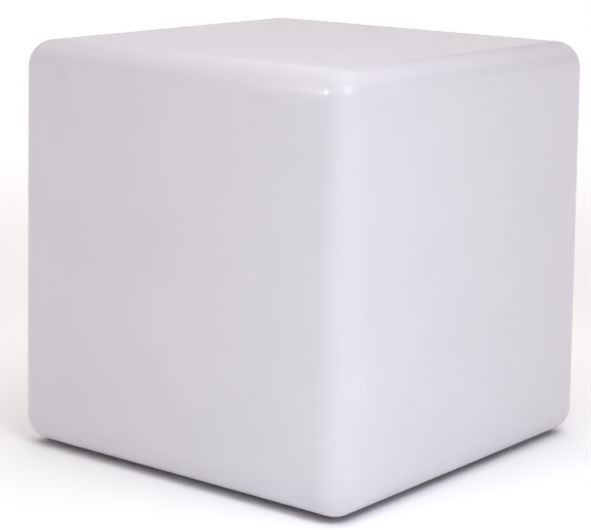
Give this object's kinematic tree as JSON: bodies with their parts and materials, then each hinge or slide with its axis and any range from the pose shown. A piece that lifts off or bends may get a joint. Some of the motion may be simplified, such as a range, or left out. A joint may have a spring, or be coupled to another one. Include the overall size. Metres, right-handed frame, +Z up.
{
  "type": "led cube light",
  "caption": "Rounded white cube light and stool: a hollow translucent shell with a sealed, rechargeable light module screwed into its base.",
  "frame": {"origin": "on the floor, under the centre of the cube", "axes": "+Z up, +X and +Y square to the sides; the button and the charging socket are on the -Y half of the underside"},
  "size_m": [0.4038, 0.4038, 0.4],
  "materials": {
    "shell_polyethylene": "satin, slightly pebbled, milky translucent",
    "white_abs": "fine matt texture",
    "grey_abs": "matt",
    "black_plastic": "matt",
    "glossy_black_plastic": "polished",
    "white_plastic": "matt",
    "milky_polycarbonate": "satin, translucent",
    "clear_polycarbonate": "polished, clear",
    "black_rubber": "matt",
    "silicone": "matt",
    "steel_screws": "zinc plated",
    "spring_steel": "drawn wire",
    "brass": "turned",
    "nickel": "rolled strip",
    "tinned_brass": "tin plated",
    "aluminium": "stamped",
    "white_circuit_board": "white solder mask",
    "green_circuit_board": "green solder mask",
    "cell_wrap": "shrunk film",
    "led_package": "white body, yellowish filling",
    "capacitor_can": "sleeved can",
    "ferrite": "pressed",
    "lead_insulation": "satin"
  },
  "bodies": {
    "cube": {"cube_shell": "shell_polyethylene", "threaded_inserts": "brass", "rubber_feet": "black_rubber", "foot_screws": "steel_screws", "base_plate": "white_abs", "base_gasket": "silicone", "base_screw_washers": "steel_screws", "base_screws": "steel_screws", "housing_cup": "grey_abs", "housing_seal": "silicone", "housing_screws": "steel_screws", "battery_cradle": "black_plastic", "battery_cells": "cell_wrap", "nickel_strips": "nickel", "battery_clamp": "black_plastic", "battery_clamp_screws": "steel_screws", "protection_board": "green_circuit_board", "protection_chips": "black_plastic", "control_board": "green_circuit_board", "control_chips": "black_plastic", "power_inductor": "ferrite", "capacitors": "capacitor_can", "board_connectors": "white_plastic", "board_screws": "steel_screws", "heat_spreader": "aluminium", "led_board": "white_circuit_board", "led_packages": "led_package", "led_resistors": "black_plastic", "led_board_screws": "steel_screws", "led_board_connector": "white_plastic", "ir_receiver": "glossy_black_plastic", "diffuser_dome": "milky_polycarbonate", "dome_seal": "silicone", "dome_screws": "steel_screws", "led_lead_grommet": "black_rubber", "button_body": "black_plastic", "button_seal": "silicone", "button_nut": "black_plastic", "button_pins": "tinned_brass", "button_spring": "spring_steel", "charge_jack": "black_plastic", "charge_jack_pin": "tinned_brass", "charge_jack_tabs": "tinned_brass", "charge_jack_seal": "silicone", "charge_jack_nut": "black_plastic", "flap_anchor": "black_rubber", "indicator_lens": "clear_polycarbonate", "indicator_led": "clear_polycarbonate", "button_lead": "lead_insulation", "indicator_lead": "lead_insulation", "jack_lead": "lead_insulation", "battery_lead": "lead_insulation", "led_lead": "lead_insulation"},
    "button": {"button_cap": "white_plastic", "button_contact": "tinned_brass"},
    "flap": {"charge_port_flap": "black_rubber"}
  },
  "joints": [
    {"name": "power_button_press", "type": "slide", "parent": "cube", "child": "button", "axis": [0, 0, 1], "range_m": [0, 0.0015], "stiffness_N_per_m": 800, "springref_m": -0.001, "deforming": ["button_spring"]},
    {"name": "charging_flap_swing", "type": "hinge", "parent": "cube", "child": "flap", "pos_m": [0.028, -0.022, 0.0126], "axis": [1, 0, 0], "range_deg": [0, 120]}
  ]
}
